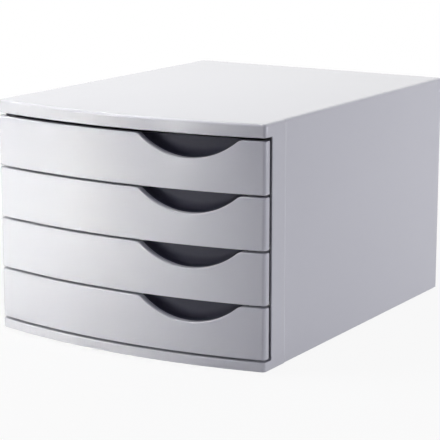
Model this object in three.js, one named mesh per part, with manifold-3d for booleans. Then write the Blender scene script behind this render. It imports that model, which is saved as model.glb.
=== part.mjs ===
// A desktop file drawer: one moulded casing with a bowed front, and four drawers that slide out of it.
// Millimetres, +Z up. The front faces -Y, and the origin lies on the table under the casing's middle.
import * as THREE from "three";
import { mergeVertices } from "three/addons/utils/BufferGeometryUtils.js";
import Module from "manifold-3d";

// Overall size
const width = 290;
const depth = 375;
const height = 222;
const bow = 18; // how far the front bulges between its two corners
const drawerCount = 4;

// Casing
const casingWall = 2.6;
const casingEdge = 3; // rounding of the edges round the top
const cornerRadius = 4; // rounding of the upright corners
const lipHeight = 12.2; // the top's turned-down front edge
const plinthHeight = 8.7; // from the casing's lower edge to its floor
const collarLength = 34; // the slightly wider band round the front of each side wall
const collarStep = 0.7;
const sideSetback = 11.5; // from the front corner back to the side wall's front edge
const mouthRadius = 3; // where that edge runs into the plinth
const rebateLength = 6; // behind that edge the wall is thinned from inside
const rebateWall = 1; // and this much of it is left
const returnThickness = 2; // the inward flange behind the rebate, which covers the runner's front edge
const ribThickness = 1.6;
const ribLift = 1; // the ribs under the floor end this far above the casing's lower edge
const ribCell = 37; // the widest cell between two of them
const keeperHeight = 6; // the ceiling rib that holds the runner against the side wall
const snapReach = 1.2; // the small lips that hold the back panel
const snapWidth = 24;

// Gaps
const seat = 0.3; // between two pieces that rest on each other
const frontGap = 2; // between one drawer front and the next
const topGap = 2.9; // between the casing's lip and the first drawer front

// Feet
const footHeight = 2; // how far a foot stands out under the casing
const footRadius = 6;
const footEdge = 0.6;
const footInset = 22;
const footSocketDepth = 3;
const footBossWall = 2;
const footBossLift = 0.5; // the boss round a foot ends this far above the casing's lower edge

// Drawer front
const frontDepth = 6.5; // how far its turned-in edges reach back
const frontWall = 2.4;
const frontEdge = 1.2;
const scoopWidth = 97; // the crescent cut into its top edge, to pull by
const scoopDepth = 18.7;
const scoopBlend = 8; // rounding where the crescent meets the top edge
const scoopCentreShare = 0.503; // of half the width, to the right of the middle
const clipWidth = 8; // the hooks that hold the front on the tray
const clipHeight = 2.4;
const clipRise = 10;
const clipBarb = 1.5;
const clipReach = 1.8;
const clipPlaceShares = [-0.78, -0.3, 0.2, 0.78]; // of half the width

// Tray
const trayWall = 1.8;
const trayFloor = 1.8;
const trayCorner = 3;
const traySideGap = 2.6; // from the tray's side to the runner
const trayBackGap = 4; // from the tray's back to the back panel
const trayLift = 1; // the tray's underside above the front's lower edge
const trayTopMargin = 1.5; // the tray's rim below the front's upper edge
const rimHeight = 3;
const rimReach = 1.2;
const tabReach = 2.2; // the stop tabs near the tray's rear
const tabLength = 6;
const tabSetback = 46;

// Grip pocket
const gripWall = 1.8;
const gripDepth = 14;
const gripFlange = 4;

// Runners
const runnerThickness = 2;
const ledgeThickness = 2;
const ledgeGusset = 1.2;
const ledgeBearing = 4.4; // how far a ledge reaches under its tray
const ledgeLead = 6; // the ledge's sloped front end
const lugReach = 1.6; // the stop lugs behind the casing's mouth
const lugLength = 6;
const lugSetback = 10;
const lugRiseShare = 0.4; // of the tray's height
const lugHeightShare = 0.3;

// Back panel
const backThickness = 2.2;
const backRecess = 1;
const backRim = 5;
const backRimWall = 1.8;
const backFieldDepth = 0.8; // the sunk field on its outer face
const backFieldMargin = 26;

// Cutting and facets
const overrun = 5;
const mergeLimit = 1e-4;
const snapGrid = 1 / 1024; // corners lie on it, so faces that are meant to be level are exactly level
const bowSteps = 28;
const cornerSteps = 4;
const scoopSteps = 20;
const blendSteps = 4;
const edgeSteps = 2;
const footSteps = 20;

// Levels and places that follow from the sizes above
const half = width / 2;
const frontMost = -depth / 2;
const backFace = depth / 2;
const cornerY = frontMost + bow;
const bowRadius = (half * half + bow * bow) / (2 * bow);
const bowCentreY = frontMost + bowRadius;
const innerHalf = half - collarStep - casingWall;
const plinthTop = footHeight + plinthHeight;
const floorUnderside = plinthTop - casingWall;
const lipBottom = height - lipHeight;
const ceiling = height - casingWall;
const sideFront = cornerY + sideSetback;
const returnFront = sideFront + rebateLength;
const returnBack = returnFront + returnThickness;
const collarEnd = cornerY + collarLength;
const runnerOuter = innerHalf - seat;
const runnerFace = runnerOuter - runnerThickness;
const trayHalf = runnerFace - traySideGap;
const frontHeight = (lipBottom - topGap - plinthTop - drawerCount * frontGap) / drawerCount;
const drawerPitch = frontHeight + frontGap;
const trayTop = frontHeight - trayTopMargin;
const trayHeight = trayTop - trayLift;
const trayFront = frontDepth + seat; // measured inwards from the bowed face, as the next three are
const trayFrontInside = trayFront + trayWall;
const gripBack = trayFront + gripDepth;
const gripSeat = trayFrontInside + seat;
const panelOuter = backFace - backRecess;
const panelInner = panelOuter - backThickness;
const rimFront = panelInner - backRim;
const trayBack = panelInner - trayBackGap;
const scoopCentre = scoopCentreShare * half;
const lugRise = trayLift + lugRiseShare * trayHeight;
const lugHeight = lugHeightShare * trayHeight;
const footBossEnd = footHeight + footBossLift;
const lugBack = sideFront + lugSetback + lugLength;
const tabFront = trayBack - tabSetback - tabLength;
const drawerTravel = tabFront - lugBack - seat;

const wasm = await Module();
wasm.setup();

// A closed three.js geometry as a solid that can be joined and cut.
function solid(geometry) {
  geometry.deleteAttribute("normal");
  geometry.deleteAttribute("uv");
  const corners = geometry.attributes.position.array;
  corners.forEach((value, i) => { corners[i] = Math.round(value / snapGrid) * snapGrid; });
  const merged = mergeVertices(geometry, mergeLimit);
  return new wasm.Manifold(new wasm.Mesh({
    numProp: 3,
    vertProperties: new Float32Array(merged.attributes.position.array),
    triVerts: new Uint32Array(merged.index.array),
  }));
}

// The solid back as a geometry with flat facets.
function geometryOf(body) {
  const mesh = body.getMesh();
  const indexed = new THREE.BufferGeometry();
  indexed.setAttribute("position", new THREE.BufferAttribute(mesh.vertProperties, 3));
  indexed.setIndex(new THREE.BufferAttribute(mesh.triVerts, 1));
  const geometry = indexed.toNonIndexed();
  geometry.computeVertexNormals();
  return geometry;
}

const join = (...bodies) => bodies.reduce((sum, body) => sum.add(body));
const cut = (body, ...tools) => tools.reduce((rest, tool) => rest.subtract(tool), body);

function box(x0, x1, y0, y1, z0, z1) {
  const geometry = new THREE.BoxGeometry(x1 - x0, y1 - y0, z1 - z0);
  geometry.translate((x0 + x1) / 2, (y0 + y1) / 2, (z0 + z1) / 2);
  return solid(geometry);
}

// The same box on the right side, or mirrored to the left where side is -1.
function sideBox(side, x0, x1, y0, y1, z0, z1) {
  return side > 0 ? box(x0, x1, y0, y1, z0, z1) : box(-x1, -x0, y0, y1, z0, z1);
}

function arc(x, y, radius, from, to, steps) {
  return new THREE.EllipseCurve(x, y, radius, radius, from, to, to < from).getPoints(steps);
}

// An outline from stretches of points, without the doubles where two stretches meet.
function outline(...stretches) {
  const points = stretches.flat();
  const kept = points.filter((point, i) => point.distanceTo(points.at(i - 1)) > mergeLimit);
  return new THREE.Shape(kept);
}

// An outline seen from above, raised from z0 to z1, with its upper and lower edges rounded by edge.
function upright(shape, z0, z1, edge = 0) {
  const geometry = new THREE.ExtrudeGeometry(shape, {
    depth: z1 - z0 - 2 * edge,
    bevelEnabled: edge > 0,
    bevelThickness: edge,
    bevelSize: edge,
    bevelOffset: -edge,
    bevelSegments: edgeSteps,
  });
  geometry.translate(0, 0, z0 + edge);
  return solid(geometry);
}

// An outline seen from the front, in x and z, carried from y0 back to y1.
function frontal(shape, y0, y1) {
  const geometry = new THREE.ExtrudeGeometry(shape, { depth: y1 - y0, bevelEnabled: false });
  geometry.rotateX(Math.PI / 2);
  geometry.translate(0, y1, 0);
  return solid(geometry);
}

// An outline seen from the side, in y and z, carried from x0 to x1.
function lateralGeometry(shape, x0, x1) {
  const geometry = new THREE.ExtrudeGeometry(shape, { depth: x1 - x0, bevelEnabled: false });
  const axes = [[0, 1, 0], [0, 0, 1], [1, 0, 0]].map((axis) => new THREE.Vector3(...axis));
  geometry.applyMatrix4(new THREE.Matrix4().makeBasis(...axes));
  geometry.translate(x0, 0, 0);
  return geometry;
}

const lateral = (shape, x0, x1) => solid(lateralGeometry(shape, x0, x1));

// The bowed front edge, inset from the face, from the left side round to the right, with its two
// corners rounded.
function bowEdge(inset, halfWidth, corner) {
  const radius = bowRadius - inset;
  const across = halfWidth - corner;
  const back = Math.sqrt((radius - corner) ** 2 - across ** 2);
  const turn = Math.atan2(across, back);
  const middle = -Math.PI / 2;
  return [
    ...arc(-across, bowCentreY - back, corner, -Math.PI, middle - turn, cornerSteps),
    ...arc(0, bowCentreY, radius, middle - turn, middle + turn, bowSteps),
    ...arc(across, bowCentreY - back, corner, middle + turn, 0, cornerSteps),
  ];
}

// The bowed edge without rounded corners, from right to left.
function plainBowEdge(inset, halfWidth) {
  const radius = bowRadius - inset;
  const turn = Math.asin(halfWidth / radius);
  const middle = -Math.PI / 2;
  return arc(0, bowCentreY, radius, middle + turn, middle - turn, bowSteps);
}

// A plan with a bowed front, straight sides and a straight back with rounded corners.
function bowPlan(inset, halfWidth, back, corner) {
  const across = halfWidth - corner;
  return outline(
    bowEdge(inset, halfWidth, corner),
    arc(across, back - corner, corner, 0, Math.PI / 2, cornerSteps),
    arc(-across, back - corner, corner, Math.PI / 2, Math.PI, cornerSteps),
  );
}

// A plan with square corners and the bowed front, for what is cut out.
function plainPlan(inset, halfWidth, back) {
  const edge = plainBowEdge(inset, halfWidth).reverse();
  return outline(edge, [new THREE.Vector2(halfWidth, back), new THREE.Vector2(-halfWidth, back)]);
}

// A rectangular plan with rounded corners.
function blockPlan(halfWidth, front, back, corner) {
  const across = halfWidth - corner;
  return outline(
    arc(-across, front + corner, corner, -Math.PI, -Math.PI / 2, cornerSteps),
    arc(across, front + corner, corner, -Math.PI / 2, 0, cornerSteps),
    arc(across, back - corner, corner, 0, Math.PI / 2, cornerSteps),
    arc(-across, back - corner, corner, Math.PI / 2, Math.PI, cornerSteps),
  );
}

// A curved wall between two insets from the bowed face.
function bowWall(from, to, halfWidth, z0, z1, corner = 0, edge = 0) {
  const outer = corner > 0 ? bowEdge(from, halfWidth, corner) : plainBowEdge(from, halfWidth).reverse();
  return upright(outline(outer, plainBowEdge(to, halfWidth)), z0, z1, edge);
}

// What is drawn at the bow's middle, from the bow's centre, turned round to stand square on it at x.
function bowTurned(geometry, x) {
  geometry.rotateZ(Math.asin(x / bowRadius));
  geometry.translate(0, bowCentreY, 0);
  return solid(geometry);
}

// A box that stands square on the bowed face at x, between two insets from it.
function bowBox(x, boxWidth, from, to, z0, z1) {
  const geometry = new THREE.BoxGeometry(boxWidth, to - from, z1 - z0);
  geometry.translate(0, (from + to) / 2 - bowRadius, (z0 + z1) / 2);
  return bowTurned(geometry, x);
}

// The crescent in x and z, grown outwards by grow, and open above top.
function scoopOutline(grow) {
  const radius = (scoopWidth ** 2 / 4 + scoopDepth ** 2) / (2 * scoopDepth);
  const centreZ = frontHeight - scoopDepth + radius;
  const blendZ = frontHeight - scoopBlend;
  const rise = centreZ - blendZ;
  const reach = Math.sqrt((radius + scoopBlend) ** 2 - rise ** 2);
  const turn = Math.atan2(reach, rise);
  const blend = scoopBlend - grow;
  const over = frontHeight + overrun;
  const top = Math.PI / 2;
  return outline(
    [new THREE.Vector2(scoopCentre - reach, over)],
    arc(scoopCentre - reach, blendZ, blend, top, top - turn, blendSteps),
    arc(scoopCentre, centreZ, radius + grow, -top - turn, -top + turn, scoopSteps),
    arc(scoopCentre + reach, blendZ, blend, top + turn, top, blendSteps),
    [new THREE.Vector2(scoopCentre + reach, over)],
  );
}

function scoop(grow, y1 = sideFront + gripBack) {
  return frontal(scoopOutline(grow), frontMost - overrun, y1);
}

// The casing is one moulding: top with its lip, two sides, floor and plinth, open at front and back.
function casingShell() {
  const low = footHeight - casingEdge;
  const wide = half + overrun;
  const high = height + overrun;
  const spare = 2 * cornerRadius;
  const collar = upright(bowPlan(0, half, collarEnd + spare, cornerRadius), low, height, casingEdge)
    .intersect(box(-wide, wide, frontMost - overrun, collarEnd, footHeight, high));
  const rearPlan = blockPlan(half - collarStep, collarEnd - spare, backFace + spare, cornerRadius);
  const rear = upright(rearPlan, low, height, casingEdge)
    .intersect(box(-wide, wide, collarEnd - casingWall, backFace, footHeight, high));
  const cavity = upright(plainPlan(casingWall, innerHalf, backFace + overrun), plinthTop, ceiling);
  const underside = upright(
    plainPlan(casingWall, innerHalf, backFace - casingWall), footHeight - overrun, floorUnderside);
  const mouthOutline = outline(
    [new THREE.Vector2(frontMost - overrun, plinthTop)],
    arc(sideFront - mouthRadius, plinthTop + mouthRadius, mouthRadius, -Math.PI / 2, 0, cornerSteps),
    [new THREE.Vector2(sideFront, lipBottom), new THREE.Vector2(frontMost - overrun, lipBottom)],
  );
  const mouth = lateral(mouthOutline, -wide, wide);
  const thinned = half - rebateWall;
  const rebate = box(-thinned, thinned, sideFront - mouthRadius, returnFront, plinthTop, ceiling)
    .intersect(upright(plainPlan(casingWall, half, backFace), plinthTop, ceiling));
  let shell = cut(join(collar, rear), cavity, mouth, underside, rebate);
  for (const side of [-1, 1]) shell = join(shell, ...casingInnerRibs(side));
  shell = join(shell, ...backPanelSnaps(), ...undersideRibs(), ...footPlaces().map(footBoss));
  return cut(shell, ...footPlaces().map(footSocket));
}

// The flange behind the mouth and the ceiling rib, which hold one runner.
function casingInnerRibs(side) {
  const anchored = innerHalf + casingWall / 2;
  const ribInside = runnerFace - seat - ribThickness;
  return [
    sideBox(side, runnerFace, anchored, returnFront, returnBack,
      plinthTop - casingWall / 2, ceiling + casingWall / 2),
    sideBox(side, ribInside, ribInside + ribThickness, returnFront, rimFront - seat,
      ceiling - keeperHeight, ceiling + casingWall / 2),
  ];
}

// Small lips on the ceiling and the floor, behind the back panel.
function backPanelSnaps() {
  const y0 = panelOuter + seat;
  return [-1, 0, 1].flatMap((place) => {
    const x0 = (place * innerHalf - snapWidth) / 2;
    const x1 = x0 + snapWidth;
    return [
      box(x0, x1, y0, backFace, ceiling - snapReach, ceiling + casingWall / 2),
      box(x0, x1, y0, backFace, plinthTop - casingWall / 2, plinthTop + snapReach),
    ];
  });
}

// Evenly spaced places between two walls, so that no cell is wider than ribCell.
function ribPlaces(from, to) {
  const cells = Math.ceil((to - from) / ribCell);
  return Array.from({ length: cells - 1 }, (_, i) => from + ((i + 1) * (to - from)) / cells);
}

// A lattice of ribs under the floor.
function undersideRibs() {
  const z0 = footHeight + ribLift;
  const z1 = floorUnderside + casingWall / 2;
  const thin = ribThickness / 2;
  const rear = backFace - casingWall / 2;
  const side = innerHalf + casingWall / 2;
  const along = ribPlaces(-innerHalf, innerHalf).map((x) =>
    box(x - thin, x + thin, bowY(x) + casingWall / 2, rear, z0, z1));
  const across = ribPlaces(cornerY, backFace).map((y) => box(-side, side, y - thin, y + thin, z0, z1));
  return [...along, ...across];
}

// The bowed face's y at x.
function bowY(x) {
  return bowCentreY - Math.sqrt(bowRadius ** 2 - x ** 2);
}

function footPlaces() {
  const x = half - footInset;
  return [
    { name: "foot_front_left", x: -x, y: cornerY + footInset },
    { name: "foot_front_right", x, y: cornerY + footInset },
    { name: "foot_back_left", x: -x, y: backFace - footInset },
    { name: "foot_back_right", x, y: backFace - footInset },
  ];
}

function disc(radius, z0, z1, place) {
  const geometry = new THREE.CylinderGeometry(radius, radius, z1 - z0, footSteps);
  geometry.rotateX(Math.PI / 2);
  geometry.translate(place.x, place.y, (z0 + z1) / 2);
  return solid(geometry);
}

const footBoss = (place) =>
  disc(footRadius + seat + footBossWall, footBossEnd, floorUnderside + casingWall / 2, place);
const footSocket = (place) =>
  disc(footRadius + seat, footHeight - overrun, footBossEnd + footSocketDepth, place);

// A rubber foot: a disc with its lower edge eased, pressed into the casing's socket.
function foot() {
  const top = footBossEnd + footSocketDepth - seat;
  const profile = [
    new THREE.Vector2(0, 0),
    new THREE.Vector2(footRadius - footEdge, 0),
    new THREE.Vector2(footRadius, footEdge),
    new THREE.Vector2(footRadius, top),
    new THREE.Vector2(0, top),
  ];
  const geometry = new THREE.LatheGeometry(profile, footSteps);
  geometry.rotateX(Math.PI / 2);
  return solid(geometry);
}

// The back panel: a shallow pan that snaps in between ceiling and floor.
function backPanel() {
  const x = innerHalf - seat;
  const z0 = plinthTop + seat;
  const z1 = ceiling - seat;
  const pan = box(-x, x, rimFront, panelOuter, z0, z1);
  const hollow = box(-x + backRimWall, x - backRimWall, rimFront - overrun, panelInner,
    z0 + backRimWall, z1 - backRimWall);
  const field = box(-x + backFieldMargin, x - backFieldMargin, panelOuter - backFieldDepth,
    panelOuter + overrun, z0 + backFieldMargin, z1 - backFieldMargin);
  return cut(pan, hollow, field);
}

// A runner: a plate along one side wall, with a ledge under each tray, a guide rib over the top one,
// and a stop lug for each drawer.
function runner(side) {
  const front = returnBack + seat;
  const back = rimFront - seat;
  const z0 = plinthTop + seat;
  const z1 = ceiling - seat;
  let body = sideBox(side, runnerFace, runnerOuter, front, back, z0, z1);
  for (let level = 0; level <= drawerCount; level += 1) {
    const ledgeTop = plinthTop + frontGap + level * drawerPitch + trayLift - seat;
    body = join(body, ledge(side, front, back, ledgeTop));
    if (level < drawerCount) body = join(body, lug(side, ledgeTop + seat - trayLift));
  }
  const limits = box(-half, half, front - overrun, back + overrun, z0, z1);
  return body.intersect(limits);
}

// One ledge, with a gusset under it and its front end sloped down to lead the tray in.
function ledge(side, front, back, top) {
  const inner = trayHalf - ledgeBearing;
  const under = top - ledgeThickness;
  const root = runnerFace + runnerThickness / 2;
  const points = [[inner, under], [runnerFace, under - ledgeGusset], [root, under - ledgeGusset],
    [root, top], [inner, top]].map(([x, z]) => new THREE.Vector2(side * x, z));
  const bar = frontal(new THREE.Shape(points), front, back);
  const drop = ledgeThickness / 2;
  const leadOutline = new THREE.Shape([
    new THREE.Vector2(front - ledgeLead, top - 2 * drop),
    new THREE.Vector2(front + 2 * ledgeLead, top + drop),
    new THREE.Vector2(front - ledgeLead, top + drop),
  ]);
  return cut(bar, lateral(leadOutline, -half, half));
}

function lug(side, drawerBottom) {
  const z = drawerBottom + lugRise;
  return sideBox(side, runnerFace - lugReach, runnerFace + runnerThickness / 2,
    lugBack - lugLength, lugBack, z, z + lugHeight);
}

// A drawer front: a bowed face with turned-in edges all round and round the crescent, and four hooks.
function drawerFront() {
  const face = bowWall(0, frontDepth, half, 0, frontHeight, cornerRadius, frontEdge);
  const hollow = bowWall(
    frontWall, frontDepth + overrun, half - frontWall, frontWall, frontHeight - frontWall);
  const pocket = cut(hollow, scoop(frontWall));
  return join(cut(face, pocket, scoop(0)), ...clipPlaceShares.map(clip));
}

// One hook, drawn from the side: a stem from the face back through the tray's wall, with a barb under it.
function clip(share) {
  const x = share * half;
  const top = clipRise + clipHeight;
  const end = gripSeat + clipReach;
  const profile = new THREE.Shape([
    [frontWall / 2, clipRise], [gripSeat, clipRise], [gripSeat, clipRise - clipBarb],
    [end, clipRise - clipBarb / 2], [end, top], [frontWall / 2, top],
  ].map(([inset, z]) => new THREE.Vector2(inset - bowRadius, z)));
  return bowTurned(lateralGeometry(profile, -clipWidth / 2, clipWidth / 2), x);
}

// A drawer tray: a floor with four walls, the front one bowed, a rim, and stop tabs near its rear.
function drawerTray() {
  const outer = upright(bowPlan(trayFront, trayHalf, trayBack, trayCorner), trayLift, trayTop);
  const inside = trayHalf - trayWall;
  const innerCorner = trayCorner - trayWall / 2;
  const innerPlan = bowPlan(trayFrontInside, inside, trayBack - trayWall, innerCorner);
  const inner = upright(innerPlan, trayLift + trayFloor, trayTop + overrun);
  const slots = clipPlaceShares.map((share) => bowBox(share * half, clipWidth + 2 * seat, trayFront - overrun,
    trayFrontInside + overrun, clipRise - seat, clipRise + clipHeight + seat));
  let tray = cut(outer, inner);
  for (const side of [-1, 1]) tray = join(tray, ...trayEdges(side));
  return cut(tray, scoop(gripWall + seat), ...slots);
}

// The rim and the stop tab on one side of a tray.
function trayEdges(side) {
  const root = trayHalf - trayWall / 2;
  const front = returnBack + trayCorner;
  const rearEnd = trayBack - 2 * trayCorner;
  return [
    sideBox(side, root, trayHalf + rimReach, front, rearEnd, trayTop - rimHeight, trayTop),
    sideBox(side, root, trayHalf + tabReach, tabFront, tabFront + tabLength, lugRise, lugRise + lugHeight),
  ];
}

// The dark finger pocket behind the crescent: a trough, open on top, with a flange inside the tray.
function drawerGrip() {
  const outside = bowWall(trayFront, gripBack, half, trayLift, trayTop).intersect(scoop(gripWall));
  const flange = bowWall(gripSeat, gripSeat + gripWall, half, trayLift, trayTop)
    .intersect(scoop(gripWall + gripFlange));
  const inside = bowWall(trayFront - overrun, gripBack - gripWall, half, trayLift, trayTop + overrun)
    .intersect(scoop(0));
  return cut(join(outside, flange), inside);
}

const casingGrey = new THREE.MeshStandardMaterial({ color: 0xdfdfe3, roughness: 0.45, metalness: 0 });
const frontGrey = new THREE.MeshStandardMaterial({ color: 0xdddde2, roughness: 0.42, metalness: 0 });
const trayGrey = new THREE.MeshStandardMaterial({ color: 0xd4d4d9, roughness: 0.5, metalness: 0 });
const gripAnthracite = new THREE.MeshStandardMaterial({ color: 0x33333d, roughness: 0.5, metalness: 0 });
const footRubber = new THREE.MeshStandardMaterial({ color: 0x2b2b2e, roughness: 0.85, metalness: 0 });

function named(name, geometry, material) {
  const mesh = new THREE.Mesh(geometry, material);
  mesh.name = name;
  return mesh;
}

const fileDrawer = new THREE.Group();
fileDrawer.name = "desktop_file_drawer";

fileDrawer.add(named("casing_shell", geometryOf(casingShell()), casingGrey));
fileDrawer.add(named("back_panel", geometryOf(backPanel()), casingGrey));
fileDrawer.add(named("runner_left", geometryOf(runner(-1)), trayGrey));
fileDrawer.add(named("runner_right", geometryOf(runner(1)), trayGrey));

const footGeometry = geometryOf(foot());
for (const place of footPlaces()) {
  const mesh = named(place.name, footGeometry, footRubber);
  mesh.position.set(place.x, place.y, 0);
  fileDrawer.add(mesh);
}

const trayGeometry = geometryOf(drawerTray());
const frontGeometry = geometryOf(drawerFront());
const gripGeometry = geometryOf(drawerGrip());
for (let drawer = 1; drawer <= drawerCount; drawer += 1) {
  const group = new THREE.Group();
  group.name = `drawer_${drawer}`;
  group.position.z = plinthTop + frontGap + (drawerCount - drawer) * drawerPitch;
  group.add(named(`drawer_${drawer}_tray`, trayGeometry, trayGrey));
  group.add(named(`drawer_${drawer}_front`, frontGeometry, frontGrey));
  group.add(named(`drawer_${drawer}_grip`, gripGeometry, gripAnthracite));
  group.userData.travel = drawerTravel;
  fileDrawer.add(group);
}

export default fileDrawer;
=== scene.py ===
"""Looks of a desktop file drawer: a moulded casing with a bowed front, and four sliding drawers.

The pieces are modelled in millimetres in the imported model's frame, and become metres when they are
finished. The front faces -Y, and +Z is up.
"""

import logging
import math
from collections.abc import Callable, Iterable, Sequence
from dataclasses import dataclass
from enum import Enum
from typing import Any

import bmesh
import bpy
from bmesh.types import BMEdge, BMFace, BMVert
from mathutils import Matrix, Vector


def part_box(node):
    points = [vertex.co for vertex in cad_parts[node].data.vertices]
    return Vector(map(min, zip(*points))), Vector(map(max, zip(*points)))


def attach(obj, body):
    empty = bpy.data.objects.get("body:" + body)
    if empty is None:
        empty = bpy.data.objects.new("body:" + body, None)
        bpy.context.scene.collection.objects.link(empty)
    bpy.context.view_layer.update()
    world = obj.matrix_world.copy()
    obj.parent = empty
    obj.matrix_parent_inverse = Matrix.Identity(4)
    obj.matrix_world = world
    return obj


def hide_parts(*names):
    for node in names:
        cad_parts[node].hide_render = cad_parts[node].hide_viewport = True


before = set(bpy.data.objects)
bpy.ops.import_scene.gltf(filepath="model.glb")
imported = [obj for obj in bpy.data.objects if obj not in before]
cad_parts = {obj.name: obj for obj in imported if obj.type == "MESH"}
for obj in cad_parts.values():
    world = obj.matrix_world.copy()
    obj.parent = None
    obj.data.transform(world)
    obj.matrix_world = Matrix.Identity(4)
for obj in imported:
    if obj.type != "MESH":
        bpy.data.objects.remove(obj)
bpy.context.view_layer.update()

MILLIMETRE = 0.001
TOUCH = 0.01  # places closer than this, in millimetres, count as one
FINE_TOUCH = 0.003  # the same where facets are short
LOOSE_TOUCH = 0.05  # the same on faces that follow the bow by chords
FACING = 0.5  # a face whose normal has more than this along an axis looks that way
X_AXIS, Y_AXIS, Z_AXIS = (1.0, 0.0, 0.0), (0.0, 1.0, 0.0), (0.0, 0.0, 1.0)
WHITE = (1.0, 1.0, 1.0)
SIDES = (-1, 1)
MIX_SHARE, MIX_RESULT, MIX_FIRST, MIX_SECOND = 0, 2, 6, 7  # a Mix node's colour sockets

log = logging.getLogger("file_drawer")

Point = tuple[float, float, float]
Bearing = tuple[float, float, float]  # degrees round to the right, degrees up, metres away
Colour = tuple[float, float, float]


class Slot(Enum):
    """The record's material slots."""

    CASING = "casing"
    DRAWER_FRONT = "drawer_front"
    TRAY = "tray"
    GRIP = "grip"
    FOOT = "foot"


# Shader sheets


class Signal:
    """A shader socket that takes part in Python expressions, which add their Math nodes."""

    def __init__(self, sheet: "Sheet", socket: bpy.types.NodeSocket) -> None:
        """Wraps a socket of a sheet."""
        self.sheet = sheet
        self.socket = socket

    def __add__(self, other: "Signal | float") -> "Signal":
        """Returns self + other."""
        return self.sheet.maths("ADD", self, other)

    def __radd__(self, other: "Signal | float") -> "Signal":
        """Returns other + self."""
        return self.sheet.maths("ADD", other, self)

    def __mul__(self, other: "Signal | float") -> "Signal":
        """Returns self * other."""
        return self.sheet.maths("MULTIPLY", self, other)

    def __rmul__(self, other: "Signal | float") -> "Signal":
        """Returns other * self."""
        return self.sheet.maths("MULTIPLY", other, self)


@dataclass(frozen=True)
class Noise:
    """Cloudy noise: clouds to a metre, finer layers over them, and how strong those are.

    The fields are named after the Noise node's sockets.
    """

    scale: float
    detail: float
    roughness: float = 0.5


class Sheet:
    """The nodes of one material or of the world, while they are laid out."""

    def __init__(self, owner: bpy.types.Material | bpy.types.World) -> None:
        """Empties the owner's node tree.

        Args:
            owner: the material or world that the nodes belong to.
        """
        owner.use_nodes = True
        self.tree = owner.node_tree
        self.tree.nodes.clear()

    def node(
        self,
        kind: str,
        settings: dict[str, Any] | None = None,
        sockets: dict[str | int, Any] | None = None,
    ) -> bpy.types.Node:
        """Adds a node.

        Args:
            kind: the node's type.
            settings: what is set on the node itself.
            sockets: values or signals for its inputs, by name or number.

        Returns:
            The new node.
        """
        made = self.tree.nodes.new(kind)
        for name, value in (settings or {}).items():
            setattr(made, name, value)
        for key, value in (sockets or {}).items():
            if isinstance(value, Signal):
                self.tree.links.new(value.socket, made.inputs[key])
            else:
                made.inputs[key].default_value = value
        return made

    def signal(self, node: bpy.types.Node, output: str | int = 0) -> Signal:
        """Returns one output of a node as a signal."""
        return Signal(self, node.outputs[output])

    def maths(self, operation: str, *values: Signal | float) -> Signal:
        """Returns the result of a Math node on the given values."""
        sockets = dict(enumerate(values))
        return self.signal(self.node("ShaderNodeMath", {"operation": operation}, sockets))

    def place(self) -> Signal:
        """Returns the object coordinates, in metres."""
        return self.signal(self.node("ShaderNodeTexCoord"), "Object")

    def noise(self, place: Signal, kind: Noise) -> Signal:
        """Returns noise of the given kind at a place, round one half."""
        sockets = {"Vector": place} | {key.title(): value for key, value in vars(kind).items()}
        return self.signal(self.node("ShaderNodeTexNoise", None, sockets))

    def stretched(self, place: Signal, factors: Point) -> Signal:
        """Returns the place with each axis multiplied by its own factor."""
        sockets = {"Vector": place, "Scale": factors}
        return self.signal(self.node("ShaderNodeMapping", None, sockets))

    def between(self, share: Signal, low: float, high: float) -> Signal:
        """Returns a number that runs from low to high as share runs from 0 to 1."""
        return share * (high - low) + low

    def blend(self, first: Signal, second: Signal, share: float) -> Signal:
        """Returns the sum of two signals, of which the first has the given share."""
        return first * share + second * (1 - share)

    def tone(self, share: Signal, first: Colour, second: Colour) -> Signal:
        """Mixes two colours.

        Args:
            share: how much of the second one there is.
            first: the colour where share is 0.
            second: the colour where share is 1.

        Returns:
            The mixed colour as a signal.
        """
        sockets = {MIX_SHARE: share, MIX_FIRST: (*first, 1.0), MIX_SECOND: (*second, 1.0)}
        node = self.node("ShaderNodeMix", {"data_type": "RGBA"}, sockets)
        return self.signal(node, MIX_RESULT)

    def ramp(self, share: Signal, low: float, high: float) -> Signal:
        """Picks out the high end of a signal.

        Args:
            share: the signal.
            low: up to where the ramp is black.
            high: from where it is white.

        Returns:
            The ramp's grey as a signal.
        """
        node = self.node("ShaderNodeValToRGB", None, {0: share})
        for stop, position in zip(node.color_ramp.elements, (low, high)):
            stop.position = position
        return self.signal(node)

    def bump(self, height: Signal) -> Signal:
        """Returns the normals of a surface raised by height, in metres."""
        sockets = {"Strength": 1.0, "Distance": 1.0, "Height": height}
        return self.signal(self.node("ShaderNodeBump", None, sockets))

    def finish(self, kind: str, surface: bpy.types.Node) -> None:
        """Leads a shader to the output node of the given type."""
        self.node(kind, None, {"Surface": self.signal(surface)})

    def principled(self, sockets: dict[str, Any]) -> None:
        """Ends a material in a Principled shader with the given sockets."""
        shader = self.node("ShaderNodeBsdfPrincipled", None, sockets)
        self.finish("ShaderNodeOutputMaterial", shader)


# Finishes


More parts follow.
